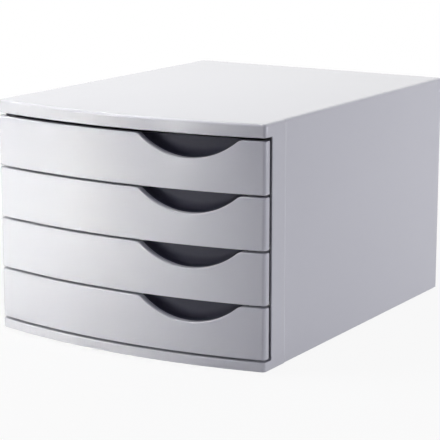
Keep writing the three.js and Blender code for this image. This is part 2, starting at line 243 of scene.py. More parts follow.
@dataclass(frozen=True)
class MouldedPlastic:
    """Injection-moulded polystyrene with a fine spark-eroded grain."""

    name: str
    light: Colour
    dark: Colour
    roughness: float = 0.23
    roughness_swing: float = 0.04
    specular: float = 0.5
    ior: float = 1.5
    coarse_share: float = 0.6
    cloud: Noise = Noise(11.0, 3.0)
    flow: Noise = Noise(60.0, 4.0, 0.6)
    flow_stretch: Point = (1.0, 0.25, 1.0)
    grain: Noise = Noise(1500.0, 2.0)
    grain_depth: float = 0.00002
    wave: Noise = Noise(14.0, 1.0)
    wave_depth: float = 0.00012

    def material(self) -> bpy.types.Material:
        """Builds the material.

        Returns:
            A material whose tone, sheen and grain vary a little over the surface.
        """
        made = bpy.data.materials.new(self.name)
        sheet = Sheet(made)
        place = sheet.place()
        kinds = (self.cloud, self.grain, self.wave)
        cloud, grain, wave = (sheet.noise(place, kind) for kind in kinds)
        flow = sheet.noise(sheet.stretched(place, self.flow_stretch), self.flow)
        mottle = sheet.blend(cloud, flow, self.coarse_share)
        sheen = sheet.blend(mottle, grain, self.coarse_share)
        swing = self.roughness_swing
        sockets = {
            "Base Color": sheet.tone(mottle, self.light, self.dark),
            "Roughness": sheet.between(sheen, self.roughness - swing, self.roughness + swing),
            "IOR": self.ior,
            "Specular IOR Level": self.specular,
            "Normal": sheet.bump(grain * self.grain_depth + wave * self.wave_depth),
        }
        sheet.principled(sockets)
        return made


@dataclass(frozen=True)
class Rubber:
    """Dark rubber, matt, with a dusting of lint."""

    name: str
    clean: Colour = (0.018, 0.018, 0.02)
    dusty: Colour = (0.055, 0.054, 0.052)
    roughness: float = 0.78
    roughness_swing: float = 0.1
    dust: Noise = Noise(900.0, 4.0, 0.7)
    dust_from: float = 0.52
    dust_to: float = 0.72
    pores: Noise = Noise(2600.0, 1.0)
    pore_depth: float = 0.00005

    def material(self) -> bpy.types.Material:
        """Builds the material.

        Returns:
            A dark matt material with pale specks.
        """
        made = bpy.data.materials.new(self.name)
        sheet = Sheet(made)
        place = sheet.place()
        dust, pores = (sheet.noise(place, kind) for kind in (self.dust, self.pores))
        share = sheet.ramp(dust, self.dust_from, self.dust_to)
        swing = self.roughness_swing
        sockets = {
            "Base Color": sheet.tone(share, self.clean, self.dusty),
            "Roughness": sheet.between(dust, self.roughness - swing, self.roughness + swing),
            "Normal": sheet.bump(pores * self.pore_depth),
        }
        sheet.principled(sockets)
        return made


@dataclass(frozen=True)
class Finishes:
    """The finish of each material slot."""

    casing: MouldedPlastic = MouldedPlastic("casing_grey", (0.80, 0.80, 0.825), (0.77, 0.77, 0.80))
    drawer_front: MouldedPlastic = MouldedPlastic(
        "front_grey", (0.795, 0.795, 0.825), (0.765, 0.765, 0.80)
    )
    tray: MouldedPlastic = MouldedPlastic(
        "tray_grey", (0.74, 0.74, 0.77), (0.71, 0.71, 0.745), roughness=0.42
    )
    grip: MouldedPlastic = MouldedPlastic(
        "grip_anthracite", (0.074, 0.074, 0.098), (0.062, 0.062, 0.085),
        roughness=0.5, specular=0.2, grain_depth=0.00004,
    )
    foot: Rubber = Rubber("foot_rubber")

    def materials(self) -> dict[Slot, bpy.types.Material]:
        """Returns the material of each slot."""
        return {slot: getattr(self, slot.value).material() for slot in Slot}


# Shaping


class Shape:
    """A mesh in millimetres that bmesh operators make into a piece."""

    def __init__(self, mesh: bmesh.types.BMesh | None = None) -> None:
        """Starts from the given mesh, or from nothing."""
        self.mesh = mesh or bmesh.new()

    @classmethod
    def of_node(cls, node: str, loose: float = 0.002, flat: float = 0.3) -> "Shape":
        """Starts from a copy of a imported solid's mesh, with its loose triangles merged.

        Args:
            node: the solid's name.
            loose: how far apart, in millimetres, one corner's vertices may lie.
            flat: the turn in degrees up to which neighbouring faces become one.

        Returns:
            The shape, with flat areas as single faces.
        """
        shape = cls()
        shape.mesh.from_mesh(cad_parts[node].data)
        shape.scale(1 / MILLIMETRE)
        shape.merge(loose)
        limit = math.radians(flat)
        bmesh.ops.dissolve_limit(
            shape.mesh, angle_limit=limit, verts=shape.mesh.verts, edges=shape.mesh.edges
        )
        return shape

    def copy(self) -> "Shape":
        """Returns a copy of the shape."""
        return Shape(self.mesh.copy())

    def scale(self, factor: float) -> None:
        """Scales the whole shape from the origin."""
        bmesh.ops.scale(self.mesh, vec=(factor,) * 3, verts=self.mesh.verts)

    def move(self, by: Point, verts: Iterable[BMVert] | None = None) -> None:
        """Moves the given vertices, or all of them."""
        chosen = list(self.mesh.verts if verts is None else verts)
        bmesh.ops.translate(self.mesh, vec=by, verts=chosen)

    def merge(self, distance: float = TOUCH) -> None:
        """Merges vertices that lie closer than distance."""
        bmesh.ops.remove_doubles(self.mesh, verts=self.mesh.verts, dist=distance)

    def point(self, x: float, y: float, z: float) -> BMVert:
        """Adds a vertex."""
        return self.mesh.verts.new((x, y, z))

    def line(self, verts: Sequence[BMVert]) -> list[BMEdge]:
        """Joins each vertex to the next."""
        return [self.mesh.edges.new(pair) for pair in zip(verts, verts[1:])]

    def arc(
        self, start: BMVert, centre: Point, axis: Point, angle: float, steps: int
    ) -> list[BMVert]:
        """Spins a vertex into a chain of edges.

        Args:
            start: the vertex that is spun.
            centre: a point of the axis.
            axis: the axis's direction.
            angle: the turn in radians.
            steps: the number of edges.

        Returns:
            The vertices in order, start among them.
        """
        before = set(self.mesh.verts)
        bmesh.ops.spin(self.mesh, geom=[start], cent=centre, axis=axis, angle=angle, steps=steps)
        fresh = set(self.mesh.verts) - before
        chain = [start]
        while fresh:
            last = chain[-1]
            ends = (edge.other_vert(last) for edge in last.link_edges)
            chain.append(next(vert for vert in ends if vert in fresh))
            fresh.remove(chain[-1])
        return chain

    @staticmethod
    def along(chain: Sequence[BMVert]) -> list[BMEdge]:
        """Returns the edges that join each vertex of a chain to the next."""
        pairs = zip(chain, chain[1:])
        return [edge for a, b in pairs for edge in a.link_edges if edge.other_vert(a) is b]

    def fill(self, edges: Iterable[BMEdge]) -> list[BMFace]:
        """Fills a closed ring of edges with a face."""
        return bmesh.ops.contextual_create(self.mesh, geom=list(edges))["faces"]

    def extrude_edges(self, edges: Iterable[BMEdge], by: Point) -> list[BMEdge]:
        """Extrudes edges into a strip of faces.

        Args:
            edges: the edges that are extruded.
            by: how far the new edges are moved.

        Returns:
            The new edges on the strip's far side.
        """
        made = bmesh.ops.extrude_edge_only(self.mesh, edges=list(edges))["geom"]
        verts = {part for part in made if isinstance(part, BMVert)}
        self.move(by, verts)
        return [part for part in made if isinstance(part, BMEdge) and verts.issuperset(part.verts)]

    def extrude_faces(self, faces: Iterable[BMFace], by: Point = (0.0, 0.0, 0.0)) -> list[BMFace]:
        """Extrudes a region of faces.

        Args:
            faces: the region.
            by: how far the new faces are moved.

        Returns:
            The moved faces.
        """
        region = list(faces)
        edges = dict.fromkeys(edge for face in region for edge in face.edges)
        made = bmesh.ops.extrude_face_region(self.mesh, geom=[*region, *edges])["geom"]
        self.move(by, [part for part in made if isinstance(part, BMVert)])
        return [part for part in made if isinstance(part, BMFace)]

    def inset(self, faces: Iterable[BMFace], thickness: float) -> list[BMFace]:
        """Insets a region of faces.

        Args:
            faces: the region.
            thickness: the width of the band that is left round it.

        Returns:
            The faces within the band.
        """
        inner = list(faces)
        bmesh.ops.inset_region(
            self.mesh, faces=inner, thickness=thickness, use_even_offset=True, use_boundary=True
        )
        return inner

    def block(self, x: Sequence[float], y: Sequence[float], z: Sequence[float]) -> None:
        """Adds a block.

        Args:
            x: its low and high limit across.
            y: the same in depth.
            z: the same in height.
        """
        corners = bmesh.ops.create_cube(self.mesh, size=1.0)["verts"]
        bmesh.ops.scale(self.mesh, vec=(x[1] - x[0], y[1] - y[0], z[1] - z[0]), verts=corners)
        self.move(((x[0] + x[1]) / 2, (y[0] + y[1]) / 2, (z[0] + z[1]) / 2), corners)

    def prism(self, outline: Sequence[Point], by: Point) -> None:
        """Adds a closed prism from an outline of corners."""
        corners = [self.point(*corner) for corner in outline]
        self.extrude_faces(self.fill(self.line([*corners, corners[0]])), by)

    def lathe(
        self, profile: Sequence[tuple[float, float]], x: float, y: float, steps: int
    ) -> None:
        """Turns a profile all round an upright axis.

        Args:
            profile: the radius and height of each corner.
            x: where the axis stands across.
            y: where the axis stands in depth.
            steps: the number of facets all round.
        """
        verts = [self.point(x + radius, y, height) for radius, height in profile]
        bmesh.ops.spin(
            self.mesh, geom=[*verts, *self.line(verts)], cent=(x, y, 0.0), axis=Z_AXIS,
            angle=math.tau, steps=steps, use_merge=True,
        )
        self.merge()

    def slice(self, at: Point, normal: Point, near: float = 0.001) -> None:
        """Cuts every face that the plane crosses, through corners that lie near it."""
        parts = [*self.mesh.verts, *self.mesh.edges, *self.mesh.faces]
        bmesh.ops.bisect_plane(self.mesh, geom=parts, dist=near, plane_co=at, plane_no=normal)

    def delete_faces(self, chosen: Callable[[Vector], bool]) -> None:
        """Deletes the faces whose middle is chosen."""
        faces = [face for face in self.mesh.faces if chosen(face.calc_center_median())]
        bmesh.ops.delete(self.mesh, geom=faces, context="FACES")

    def thicken(self, thickness: float) -> None:
        """Gives an open skin a wall, inwards from its outer faces."""
        bmesh.ops.solidify(self.mesh, geom=self.mesh.faces[:], thickness=thickness)

    def outward(self) -> None:
        """Turns all faces outwards."""
        bmesh.ops.recalc_face_normals(self.mesh, faces=self.mesh.faces)

    def sharp(self, angle: float = 40.0) -> list[BMEdge]:
        """Finds sharp edges.

        Args:
            angle: the turn in degrees from which an edge counts as sharp.

        Returns:
            The edges whose two faces meet at more than that.
        """
        self.mesh.normal_update()
        limit = math.radians(angle)
        return [e for e in self.mesh.edges if e.is_manifold and e.calc_face_angle(0.0) > limit]

    def round(self, edges: Iterable[BMEdge], width: float, segments: int = 2) -> None:
        """Bevels edges into a rounding.

        Args:
            edges: the edges.
            width: how far the rounding reaches on either side.
            segments: how many facets it has.
        """
        bmesh.ops.bevel(
            self.mesh, geom=list(edges), offset=width, offset_type="OFFSET", segments=segments,
            profile=0.5, affect="EDGES", clamp_overlap=False, material=-1, loop_slide=True,
            miter_outer="ARC", miter_inner="SHARP", spread=0.1,
        )

    def joined(self, other: "Shape") -> "Shape":
        """Adds a copy of another shape's mesh.

        Args:
            other: the other shape.

        Returns:
            This shape.
        """
        spare = bpy.data.meshes.new("spare")
        other.mesh.to_mesh(spare)
        self.mesh.from_mesh(spare)
        bpy.data.meshes.remove(spare)
        return self

    def to_object(self, name: str, material: bpy.types.Material) -> bpy.types.Object:
        """Puts the mesh in the scene as it is, and frees the shape.

        Args:
            name: the object's name.
            material: the only material.

        Returns:
            The new object, at the origin.
        """
        mesh = bpy.data.meshes.new(name)
        self.mesh.to_mesh(mesh)
        self.mesh.free()
        mesh.materials.append(material)
        return add_object(name, mesh)


def add_object(name: str, data: bpy.types.ID) -> bpy.types.Object:
    """Adds an object to the scene.

    Args:
        name: the object's name.
        data: its mesh, lamp or camera.

    Returns:
        The new object.
    """
    made = bpy.data.objects.new(name, data)
    bpy.context.scene.collection.objects.link(made)
    return made


@dataclass(frozen=True)
class Dresser:
    """Makes finished shapes into pieces of the model."""

    materials: dict[Slot, bpy.types.Material]
    crease: float = 42.0

    def dress(self, shape: Shape, name: str, body: str, slot: Slot, *nodes: str) -> None:
        """Makes a shape into a piece.

        Args:
            shape: the finished shape, in millimetres.
            name: the piece's name.
            body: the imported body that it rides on.
            slot: the material slot that it takes its finish from.
            nodes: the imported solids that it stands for.
        """
        shape.scale(MILLIMETRE)
        piece = shape.to_object(name, self.materials[slot])
        piece.data.shade_smooth()
        piece.data.set_sharp_from_angle(angle=math.radians(self.crease))
        piece.modifiers.new("even_normals", "WEIGHTED_NORMAL").keep_sharp = True
        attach(piece, body)
        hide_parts(*nodes)
        log.info("%s: %d faces, rides on %s", name, len(piece.data.polygons), body)


@dataclass(frozen=True)
class Room:
    """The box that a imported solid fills, in millimetres."""

    low: Vector
    high: Vector

    @classmethod
    def of(cls, node: str) -> "Room":
        """Returns the room of the named solid."""
        low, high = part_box(node)
        return cls(low / MILLIMETRE, high / MILLIMETRE)


@dataclass(frozen=True)
class Bow:
    """The arc that the front follows, seen from above."""

    half: float = 145.0
    front: float = -187.5
    rise: float = 18.0
    steps: int = 64

    @property
    def radius(self) -> float:
        """The arc's radius."""
        return (self.half**2 + self.rise**2) / (2 * self.rise)

    @property
    def centre_y(self) -> float:
        """The depth of the arc's centre."""
        return self.front + self.radius

    def y(self, x: float, inset: float = 0.0) -> float:
        """Returns the depth at x of the arc that lies inset behind the front."""
        return self.centre_y - math.sqrt((self.radius - inset) ** 2 - x**2)

    def inset(self, place: Vector) -> float:
        """Returns how far a place lies behind the front."""
        return self.radius - math.hypot(place.x, self.centre_y - place.y)

    def turn(self, inset: float, half: float, corner: float) -> float:
        """Returns half the angle between the two rounded corners."""
        return math.asin((half - corner) / (self.radius - inset - corner))

    def corner_y(self, inset: float, half: float, corner: float) -> float:
        """Returns the depth of a rounded corner's centre."""
        reach = (self.radius - inset - corner) ** 2 - (half - corner) ** 2
        return self.centre_y - math.sqrt(reach)

    def front_edge(
        self, shape: Shape, start: BMVert, inset: float, corner: float, corner_steps: int
    ) -> list[BMVert]:
        """Draws the front from the left corner round to the right one.

        Args:
            shape: the shape that it is drawn in.
            start: the vertex where the left side ends and the left corner begins.
            inset: how far the arc lies behind the front.
            corner: the corners' radius.
            corner_steps: the number of edges in each corner.

        Returns:
            The vertices in order, start among them.
        """
        half, z = -start.co.x, start.co.z
        across, corner_y = half - corner, self.corner_y(inset, half, corner)
        turn = self.turn(inset, half, corner)
        bend = math.pi / 2 - turn
        chain = [start]
        for x, y, angle, steps in (
            (-across, corner_y, bend, corner_steps),
            (0.0, self.centre_y, 2 * turn, self.steps),
            (across, corner_y, bend, corner_steps),
        ):
            chain += shape.arc(chain[-1], (x, y, z), Z_AXIS, angle, steps)[1:]
        return chain

    def bend(self, verts: Iterable[BMVert], inset: float = 0.0) -> None:
        """Lays vertices on the arc, each at its own x."""
        for vert in verts:
            vert.co.y = self.y(vert.co.x, inset)


@dataclass(frozen=True)
class Scoop:
    """The crescent in a drawer front's upper edge, with rounded ends."""

    centre: float = 72.935
    width: float = 97.0
    depth: float = 18.7
    blend: float = 8.0
    steps: int = 36
    blend_steps: int = 7

    @property
    def radius(self) -> float:
        """The radius of the crescent's long arc."""
        return (self.width**2 / 4 + self.depth**2) / (2 * self.depth)

    @property
    def reach(self) -> float:
        """How far its rounded ends' centres lie from the middle."""
        rise = self.radius - self.depth + self.blend
        return math.sqrt((self.radius + self.blend) ** 2 - rise**2)

    def draw(self, shape: Shape, top: float, cut: float, grow: float = 0.0) -> list[BMVert]:
        """Draws the crescent's edge at depth 0, from its left end to its right end.

        Args:
            shape: the shape that it is drawn in.
            top: the height of the front's upper edge.
            cut: how far below that edge the drawing ends.
            grow: how far it lies outside the true crescent.

        Returns:
            The vertices in order, as many for any growth.
        """
        blend, level = self.blend - grow, top - cut
        blend_z, centre_z = top - self.blend, top - self.depth + self.radius
        turn = math.atan2(self.reach, centre_z - blend_z)
        first = math.acos(min((level - blend_z) / blend, 1.0))
        centre = (self.centre, 0.0, centre_z)
        if first >= turn:
            radius = self.radius + grow
            turn = math.acos((centre_z - level) / radius)
            start = shape.point(self.centre - radius * math.sin(turn), 0.0, level)
            return shape.arc(start, centre, Y_AXIS, -2 * turn, self.steps + 2 * self.blend_steps)
        left, right = self.centre - self.reach, self.centre + self.reach
        rise = blend * math.cos(first)
        start = shape.point(left + blend * math.sin(first), 0.0, blend_z + rise)
        chain = [start]
        for middle, angle, steps in (
            ((left, 0.0, blend_z), turn - first, self.blend_steps),
            (centre, -2 * turn, self.steps),
            ((right, 0.0, blend_z), turn - first, self.blend_steps),
        ):
            chain += shape.arc(chain[-1], middle, Y_AXIS, angle, steps)[1:]
        for end in (chain[0], chain[-1]):
            end.co.z = level
        return chain


# Sub-assemblies


@dataclass
class Casing:
    """The outer box: top with its lip, sides, floor, plinth, and the ribs and sockets below.

    A collar round the mouth stands a little proud of the sides, and the wall is thinned behind the
    mouth's edges. The floor reaches into the walls by the overlap.
    """

    bow: Bow
    room: Room
    fronts_top: float
    foot_places: Sequence[tuple[float, float]]
    top_gap: float = 2.9
    wall: float = 2.6
    top_edge: float = 3.0
    top_edge_steps: int = 7
    corner: float = 4.0
    corner_steps: int = 8
    plinth: float = 8.7
    collar: float = 34.0
    collar_step: float = 0.7
    step_run: float = 2.4
    step_cuts: int = 4
    setback: float = 11.5
    mouth_radius: float = 3.0
    mouth_steps: int = 6
    rebate: float = 6.0
    rebate_slope: float = 0.8
    rebate_wall: float = 1.0
    overlap: float = 0.05
    floor_corner: float = 1.5
    floor_corner_steps: int = 3
    flange: float = 2.0
    flange_gap: float = 0.4
    runner_room: float = 2.6
    rib: float = 1.6
    rib_lift: float = 1.0
    rib_cell: float = 37.0
    keeper: float = 6.0
    keeper_front: float = 0.1
    keeper_back: float = 8.5
    snap_reach: float = 1.2
    snap_width: float = 24.0
    snap_depth: float = 0.7
    snap_gap: float = 0.05
    boss_inner: float = 6.3
    boss_outer: float = 8.3
    boss_low: float = 2.5
    boss_seat: float = 5.5
    boss_steps: int = 40
    arris: float = 50.0
    ease: float = 0.45
    ease_steps: int = 3
    inner_ease: float = 0.25

    @property
    def floor_top(self) -> float:
        """The height of the floor."""
        return self.room.low.z + self.plinth

    @property
    def lip_bottom(self) -> float:
        """The height of the lip's lower edge, a gap above the drawer fronts."""
        return self.fronts_top + self.top_gap

    @property
    def ceiling(self) -> float:
        """The height of the top's underside."""
        return self.room.high.z - self.wall

    @property
    def corner_depth(self) -> float:
        """The depth of the bow's two ends."""
        return self.bow.front + self.bow.rise

    @property
    def mouth(self) -> float:
        """The depth of the side walls' front edges."""
        return self.corner_depth + self.setback

    @property
    def inner_half(self) -> float:
        """Half the width inside."""
        return self.bow.half - self.collar_step - self.wall

    def skin(self) -> Shape:
        """Builds the outer skin: top, lip, sides and plinth, with faces over the mouth.

        Returns:
            The skin, open below and behind, not yet thick.
        """
        shape = Shape()
        half, back, base = self.bow.half, self.room.high.y, self.room.low.z
        corner_y = self.bow.corner_y(0.0, half, self.corner)
        sides = (back, self.mouth, self.mouth - self.mouth_radius, corner_y)
        left = [shape.point(-half, y, base) for y in sides]
        shape.line(left)
        front = self.bow.front_edge(shape, left[-1], 0.0, self.corner, self.corner_steps)
        shape.line([front[-1], *(shape.point(half, y, base) for y in reversed(sides[:-1]))])
        bend = self.floor_top + self.mouth_radius
        levels = [base, self.floor_top, bend, self.lip_bottom, self.room.high.z]
        edges = shape.mesh.edges[:]
        for low, high in zip(levels, levels[1:]):
            edges = shape.extrude_edges(edges, (0.0, 0.0, high - low))
        ends = [vert for edge in edges for vert in edge.verts if vert.co.y > back - TOUCH]
        shape.fill([*edges, *shape.line(ends)])
        shape.outward()
        shape.round(edges, self.top_edge, self.top_edge_steps)
        return shape

    def open_mouth(self, shape: Shape) -> None:
        """Cuts the mouth into the skin and rounds its lower corners.

        Args:
            shape: the skin.
        """
        low, high, radius = self.floor_top, self.lip_bottom, self.mouth_radius
        shape.delete_faces(lambda middle: middle.y < self.mouth and low < middle.z < high)
        for side in SIDES:
            x, y = side * self.bow.half, self.mouth - radius
            start = shape.point(x, y, low)
            chain = shape.arc(start, (x, y, low + radius), X_AXIS, math.pi / 2, self.mouth_steps)
            corner = shape.point(x, self.mouth, low)
            shape.fill([*shape.along(chain), *shape.line([chain[-1], corner, start])])
        shape.merge()

    def thin_mouth(self, shape: Shape) -> None:
        """Thins the side walls from inside behind the mouth's upright edges.

        Args:
            shape: the skin, now thick.
        """
        front, back = self.mouth - self.mouth_radius, self.mouth + self.rebate
        for y in (back - self.rebate_slope, back):
            shape.slice((0.0, y, 0.0), Y_AXIS)
        inside = self.bow.half - self.wall
        for vert in shape.mesh.verts:
            level = vert.co.z < self.lip_bottom + TOUCH
            near = front + TOUCH < vert.co.y < back - TOUCH
            if level and near and abs(abs(vert.co.x) - inside) < TOUCH:
                share = min(max((vert.co.z - self.floor_top) / self.mouth_radius, 0.0), 1.0)
                vert.co.x += math.copysign(share * (self.wall - self.rebate_wall), vert.co.x)

    def narrow_rear(self, shape: Shape) -> None:
        """Draws the sides in behind the collar.

        Args:
            shape: the skin, now thick.
        """
        start = self.corner_depth + self.collar
        for i in range(self.step_cuts + 1):
            shape.slice((0.0, start + self.step_run * i / self.step_cuts, 0.0), Y_AXIS)
        for vert in shape.mesh.verts:
            share = min(max((vert.co.y - start) / self.step_run, 0.0), 1.0)
            smooth = share * share * (3 - 2 * share)
            if abs(vert.co.x) > self.bow.half - 2 * self.top_edge:
                vert.co.x -= math.copysign(self.collar_step * smooth, vert.co.x)

    def floor(self) -> Shape:
        """Builds the floor, from the plinth back to the rear.

        Returns:
            The closed plate.
        """
        shape = Shape()
        inner, inset = self.inner_half + self.overlap, self.wall - self.overlap
        back, low = self.room.high.y, self.floor_top - self.wall
        corner_y = self.bow.corner_y(inset, inner, self.floor_corner)
        left = [shape.point(-inner, y, low) for y in (back, corner_y)]
        shape.line(left)
        front = self.bow.front_edge(
            shape, left[-1], inset, self.floor_corner, self.floor_corner_steps
        )
        shape.line([front[-1], shape.point(inner, back, low), left[0]])
        shape.extrude_faces(shape.fill(shape.mesh.edges[:]), (0.0, 0.0, self.wall))
        return shape

    def ribs(self) -> Shape:
        """Builds the ribs under the floor, what holds the runners, and the back panel's snaps.

        Returns:
            The closed blocks.
        """
        shape = Shape()
        thin, wall = self.rib / 2, self.wall / 2
        z = (self.room.low.z + self.rib_lift, self.floor_top - self.wall + wall)
        rear = self.room.high.y
        side = self.inner_half + wall
        for x in self._rib_places(-self.inner_half, self.inner_half):
            shape.block((x - thin, x + thin), (self.bow.y(x) + wall, rear - wall), z)
        for y in self._rib_places(self.corner_depth, rear):
            shape.block((-side, side), (y - thin, y + thin), z)
        low, high = self.floor_top - wall, self.ceiling + wall
        flange, outer = self.mouth + self.rebate, self.inner_half - self.runner_room
        for end in SIDES:
            x = sorted((end * (outer - self.rib), end * outer))
            y = (flange + self.keeper_front, rear - self.keeper_back)
            shape.block(x, y, (self.ceiling - self.keeper, high))
            x = sorted((end * (outer + self.flange_gap), end * side))
            shape.block(x, (flange, flange + self.flange), (low, high))
        y = (rear - self.snap_depth, rear - self.snap_gap)
        for place in (-1, 0, 1):
            start = (place * self.inner_half - self.snap_width) / 2
            x = (start, start + self.snap_width)
            shape.block(x, y, (self.ceiling - self.snap_reach, high))
            shape.block(x, y, (low, self.floor_top + self.snap_reach))
        return shape

    def _rib_places(self, low: float, high: float) -> list[float]:
        """Returns evenly spaced places between two walls."""
        cells = math.ceil((high - low) / self.rib_cell)
        return [low + (i + 1) * (high - low) / cells for i in range(cells - 1)]

    def bosses(self) -> Shape:
        """Builds the sockets that hold the feet.

        Returns:
            The closed sockets.
        """
        shape = Shape()
        high = self.floor_top - self.wall / 2
        inner, outer = self.boss_inner, self.boss_outer
        profile = [(0.0, self.boss_seat), (inner, self.boss_seat), (inner, self.boss_low)]
        profile += [(outer, self.boss_low), (outer, high), (0.0, high)]
        for x, y in self.foot_places:
            shape.lathe(profile, x, y, self.boss_steps)
        shape.outward()
        return shape

    def build(self) -> Shape:
        """Builds the whole casing.

        Returns:
            The finished shape.
        """
        skin = self.skin()
        self.open_mouth(skin)
        skin.outward()
        skin.thicken(self.wall)
        self.thin_mouth(skin)
        self.narrow_rear(skin)
        skin.round(skin.sharp(self.arris), self.ease, self.ease_steps)
        for part in (self.floor(), self.ribs()):
            part.outward()
            part.round(part.sharp(), self.inner_ease)
            skin.joined(part)
        return skin.joined(self.bosses())


@dataclass
class BackPanel:
    """The shallow pan that closes the casing's back."""

    room: Room
    wall: float = 1.8
    panel: float = 2.2
    margin: float = 26.0
    field_depth: float = 0.8
    ease: float = 0.35
    ease_steps: int = 3

    def build(self) -> Shape:
        """Builds the panel.

        Returns:
            The finished shape.
        """
        shape = Shape()
        low, high = self.room.low, self.room.high
        shape.block(*zip(low, high))
        shape.outward()
        shape.mesh.normal_update()
        inner = [face for face in shape.mesh.faces if face.normal.y < -FACING]
        outer = [face for face in shape.mesh.faces if face.normal.y > FACING]
        hollow = high.y - low.y - self.panel
        shape.extrude_faces(shape.inset(inner, self.wall), (0.0, hollow, 0.0))
        shape.extrude_faces(shape.inset(outer, self.margin), (0.0, -self.field_depth, 0.0))
        shape.outward()
        shape.round(shape.sharp(), self.ease, self.ease_steps)
        return shape


@dataclass
class Runner:
    """A plate along one side wall, with a ledge under each tray."""

    node: str
    ease: float = 0.2

    def build(self) -> Shape:
        """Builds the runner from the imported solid.

        Returns:
            The shape, with its edges eased.
        """
        shape = Shape.of_node(self.node)
        shape.round(shape.sharp(), self.ease)
        return shape


@dataclass
class Foot:
    """A rubber foot, pressed into its socket."""

    room: Room
    edge: float = 0.6
    edge_steps: int = 4
    dish: float = 0.3
    dish_floor: float = 0.6
    dish_rim: float = 0.7
    chamfer: float = 0.3
    steps: int = 48

    @property
    def place(self) -> tuple[float, float]:
        """Where the foot's axis stands."""
        middle = (self.room.low + self.room.high) / 2
        return middle.x, middle.y

    def build(self) -> Shape:
        """Builds the foot, with a rounded tread and a slight dish in it.

        Returns:
            The finished shape.
        """
        shape = Shape()
        radius = (self.room.high.x - self.room.low.x) / 2
        low, high = self.room.low.z, self.room.high.z
        tread, dish = radius - self.edge, low + self.dish
        profile = [(0.0, dish), (tread * self.dish_floor, dish), (tread * self.dish_rim, low)]
        for i in range(self.edge_steps + 1):
            turn = i * math.pi / (2 * self.edge_steps)
            rise = self.edge * (1 - math.cos(turn))
            profile.append((tread + self.edge * math.sin(turn), low + rise))
        profile += [(radius, high - self.chamfer), (radius - self.chamfer, high), (0.0, high)]
        shape.lathe(profile, *self.place, self.steps)
        shape.outward()
        return shape


@dataclass
class DrawerFront:
    """A bowed face with turned-in edges, also round its crescent, and the hooks behind it.

    The hooks' profile gives how far each corner lies behind the front, and its height.
    """

    bow: Bow
    scoop: Scoop
    height: float
    depth: float = 6.5
    wall: float = 2.4
    corner: float = 4.0
    corner_steps: int = 7
    edge: float = 1.0
    edge_steps: int = 4
    sharp_zone: float = 0.5
    strip: float = 4.6
    cut_digits: int = 4
    hook_shares: tuple[float, ...] = (-0.78, -0.3, 0.2, 0.78)
    hook_width: float = 8.0
    hook_profile: tuple[tuple[float, float], ...] = (
        (2.0, 10.0), (8.9, 10.0), (8.9, 8.5), (10.7, 9.25), (10.7, 12.4), (2.0, 12.4)
    )
    hook_ease: float = 0.2

    def face(self, shape: Shape) -> list[BMFace]:
        """Draws the flat face with its crescent, cuts it into strips and bends it.

        Args:
            shape: the shape that it is drawn in.

        Returns:
            The bent faces.
        """
        half, top = self.bow.half, self.height
        crescent = self.scoop.draw(shape, top, 0.0)
        ring = [(half, 0.0, top), (half, 0.0, 0.0), (-half, 0.0, 0.0), (-half, 0.0, top)]
        shape.line([crescent[-1], *(shape.point(*corner) for corner in ring), crescent[0]])
        cuts = [vert.co.x for vert in crescent]
        for low, high in ((-half + self.corner, cuts[0]), (cuts[-1], half - self.corner)):
            count = math.ceil((high - low) / self.strip)
            cuts += [low + (high - low) * i / count for i in range(count + 1)]
        shape.fill(shape.mesh.edges[:])
        for x in sorted(set(round(x, self.cut_digits) for x in cuts)):
            shape.slice((x, 0.0, 0.0), X_AXIS)
        shape.merge(FINE_TOUCH)
        self.bow.bend(shape.mesh.verts)
        return shape.mesh.faces[:]

    def pan(self) -> Shape:
        """Builds the face with its turned-in edges.

        Returns:
            The closed shape, hollow at the back.
        """
        shape = Shape()
        back = shape.extrude_faces(self.face(shape))
        self.bow.bend({vert for face in back for vert in face.verts}, self.depth)
        shape.outward()
        limit = self.bow.half - TOUCH
        ends = [
            edge for edge in shape.mesh.edges
            if all(abs(v.co.x) > limit and self.bow.inset(v.co) < TOUCH for v in edge.verts)
        ]
        angle = math.pi / 2 - self.bow.turn(0.0, self.bow.half, self.corner)
        shape.round(ends, self.corner * math.tan(angle / 2), self.corner_steps)
        limit = self.depth - self.sharp_zone
        rim = [
            edge for edge in shape.sharp()
            if min(self.bow.inset(v.co) for v in edge.verts) < limit and self._runs_along(edge)
        ]
        shape.round(rim, self.edge, self.edge_steps)
        shape.mesh.normal_update()
        limit = self.depth - LOOSE_TOUCH
        hollow = [
            face for face in shape.mesh.faces
            if all(self.bow.inset(v.co) > limit for v in face.verts)
        ]
        inner = shape.extrude_faces(shape.inset(hollow, self.wall))
        self.bow.bend({vert for face in inner for vert in face.verts}, self.wall)
        shape.outward()
        return shape

    @staticmethod
    def _runs_along(edge: BMEdge, slant: float = 0.05) -> bool:
        """Returns whether an edge borders the face, rather than running back from it."""
        return any(abs(face.normal.z) > slant for face in edge.link_faces)

    def hooks(self) -> Shape:
        """Builds the hooks that hold the front on the tray.

        Returns:
            The closed hooks.
        """
        shape = Shape()
        for share in self.hook_shares:
            x = share * self.bow.half
            first = x - self.hook_width / 2
            outline = [(first, self.bow.y(x, inset), z) for inset, z in self.hook_profile]
            shape.prism(outline, (self.hook_width, 0.0, 0.0))
        shape.outward()
        shape.round(shape.sharp(), self.hook_ease)
        return shape

    def build(self) -> Shape:
        """Builds the drawer front, with its lower edge at height 0."""
        return self.pan().joined(self.hooks())


